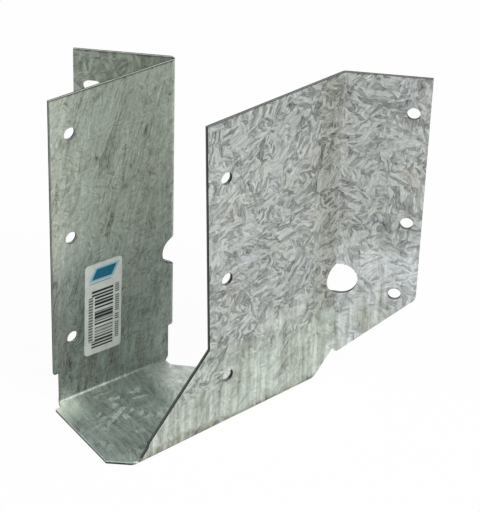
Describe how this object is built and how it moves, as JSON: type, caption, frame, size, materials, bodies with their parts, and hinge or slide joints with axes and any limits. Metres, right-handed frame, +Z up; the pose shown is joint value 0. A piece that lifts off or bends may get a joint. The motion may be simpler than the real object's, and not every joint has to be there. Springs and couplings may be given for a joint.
{
  "type": "joist hanger",
  "caption": "Skewed face-mount joist hanger folded from galvanised steel sheet: two plates, a seat, two header flanges with nail holes, and a paper label.",
  "frame": {"origin": "on the seat's upper face, where the joist bears, on the joist's middle line, 46 mm along it from the header's face", "axes": "+Z up, the joist runs along Y with the header at +Y, +X to the right seen from the joist's side; the header's face is turned 45 degrees about Z, so its outward normal into the header is (-0.707, 0.707, 0)"},
  "size_m": [0.0906, 0.123, 0.127],
  "materials": {
    "galvanised_steel": "hot-dip galvanised, matt spangle with feathery flakes",
    "label_paper": null
  },
  "bodies": {
    "root": {"hanger": "galvanised_steel", "label": "label_paper"}
  },
  "joints": []
}
